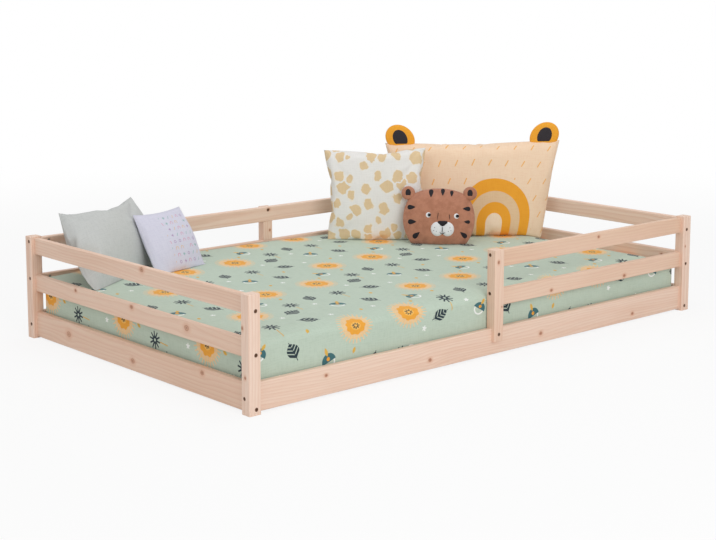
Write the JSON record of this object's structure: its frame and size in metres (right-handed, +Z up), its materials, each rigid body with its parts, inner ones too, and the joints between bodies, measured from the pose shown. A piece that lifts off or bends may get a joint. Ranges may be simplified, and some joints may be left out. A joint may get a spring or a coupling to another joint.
{
  "type": "toddler floor bed",
  "caption": "Low pine floor bed with open rail guards, an entry gap in one long side, a slatted base, a mattress in a fitted sheet, and loose cushions.",
  "frame": {"origin": "middle of the footprint at floor level, between the four corner posts", "axes": "+X along the bed's length towards the end with the three front guards, +Y across it away from the entry side, +Z up"},
  "size_m": [2.08, 1.274, 0.6684],
  "materials": {
    "pine": "satin lacquered pine, pale and warm, with knots and long grain",
    "slat_pine": "planed bare pine",
    "beech": "fluted beech dowel rod, bare",
    "bronzed_steel": "steel with a dark bronze finish, satin",
    "steel": "zinc-plated steel",
    "webbing": "flat woven polyester tape",
    "mattress_ticking": "knitted white ticking over foam",
    "printed_cotton": null,
    "grey_cotton": "matte washed cotton, plain sage grey",
    "white_cotton": "matte cotton in off-white with small coloured marks",
    "spotted_cotton": "matte cotton in off-white with tan irregular spots",
    "amber_cotton": "matte cotton in peach with amber bands",
    "brown_plush": "short brown plush"
  },
  "bodies": {
    "bed_frame": {"barrel_nuts": "steel", "beam_cleat_left": "pine", "beam_cleat_right": "pine", "beam_feet": "pine", "centre_beam": "pine", "cleat_screws": "steel", "corner_post_front_left": "pine", "corner_post_front_right": "pine", "corner_post_rear_left": "pine", "corner_post_rear_right": "pine", "dowels": "beech", "end_rail_bolts": "bronzed_steel", "end_rail_left_bottom": "pine", "end_rail_left_lower": "pine", "end_rail_left_upper": "pine", "end_rail_right_bottom": "pine", "end_rail_right_lower": "pine", "end_rail_right_upper": "pine", "guard_rail_front_lower": "pine", "guard_rail_front_upper": "pine", "guard_rail_rear_lower": "pine", "guard_rail_rear_upper": "pine", "ledger_screws": "steel", "middle_post_bolts": "bronzed_steel", "middle_post_front": "pine", "middle_post_rear": "pine", "round_nuts": "steel", "side_rail_bolts": "bronzed_steel", "side_rail_front": "pine", "side_rail_rear": "pine", "slat_01": "slat_pine", "slat_02": "slat_pine", "slat_03": "slat_pine", "slat_04": "slat_pine", "slat_05": "slat_pine", "slat_06": "slat_pine", "slat_07": "slat_pine", "slat_08": "slat_pine", "slat_09": "slat_pine", "slat_10": "slat_pine", "slat_11": "slat_pine", "slat_12": "slat_pine", "slat_13": "slat_pine", "slat_14": "slat_pine", "slat_ledger_front": "pine", "slat_ledger_rear": "pine", "slat_screws": "steel", "slat_tapes": "webbing", "tape_staples": "steel"},
    "mattress": {"mattress": "mattress_ticking", "fitted_sheet": "printed_cotton"},
    "cushion_grey": {"cushion_grey": "grey_cotton"},
    "cushion_white": {"cushion_white": "white_cotton"},
    "cushion_spotted": {"cushion_spotted": "spotted_cotton"},
    "cushion_eared": {"cushion_eared": "amber_cotton", "cushion_eared_ears": "amber_cotton"},
    "cushion_plush": {"cushion_plush": "brown_plush", "cushion_plush_ears": "brown_plush"}
  },
  "joints": [
    {"name": "mattress_lift", "type": "slide", "parent": "bed_frame", "child": "mattress", "axis": [0, 0, 1], "range_m": [0, 0.32]},
    {"name": "cushion_grey_lift", "type": "slide", "parent": "mattress", "child": "cushion_grey", "axis": [0, 0.4772, 0.8788], "range_m": [0, 0.48]},
    {"name": "cushion_white_lift", "type": "slide", "parent": "mattress", "child": "cushion_white", "axis": [0, 0, 1], "range_m": [0, 0.48]},
    {"name": "cushion_spotted_lift", "type": "slide", "parent": "mattress", "child": "cushion_spotted", "axis": [0.0816, 0.128, 0.9884], "range_m": [0, 0.48]},
    {"name": "cushion_eared_lift", "type": "slide", "parent": "mattress", "child": "cushion_eared", "axis": [0.1091, 0.127, 0.9859], "range_m": [0, 0.48]},
    {"name": "cushion_plush_lift", "type": "slide", "parent": "mattress", "child": "cushion_plush", "axis": [0, 0, 1], "range_m": [0, 0.48]}
  ]
}
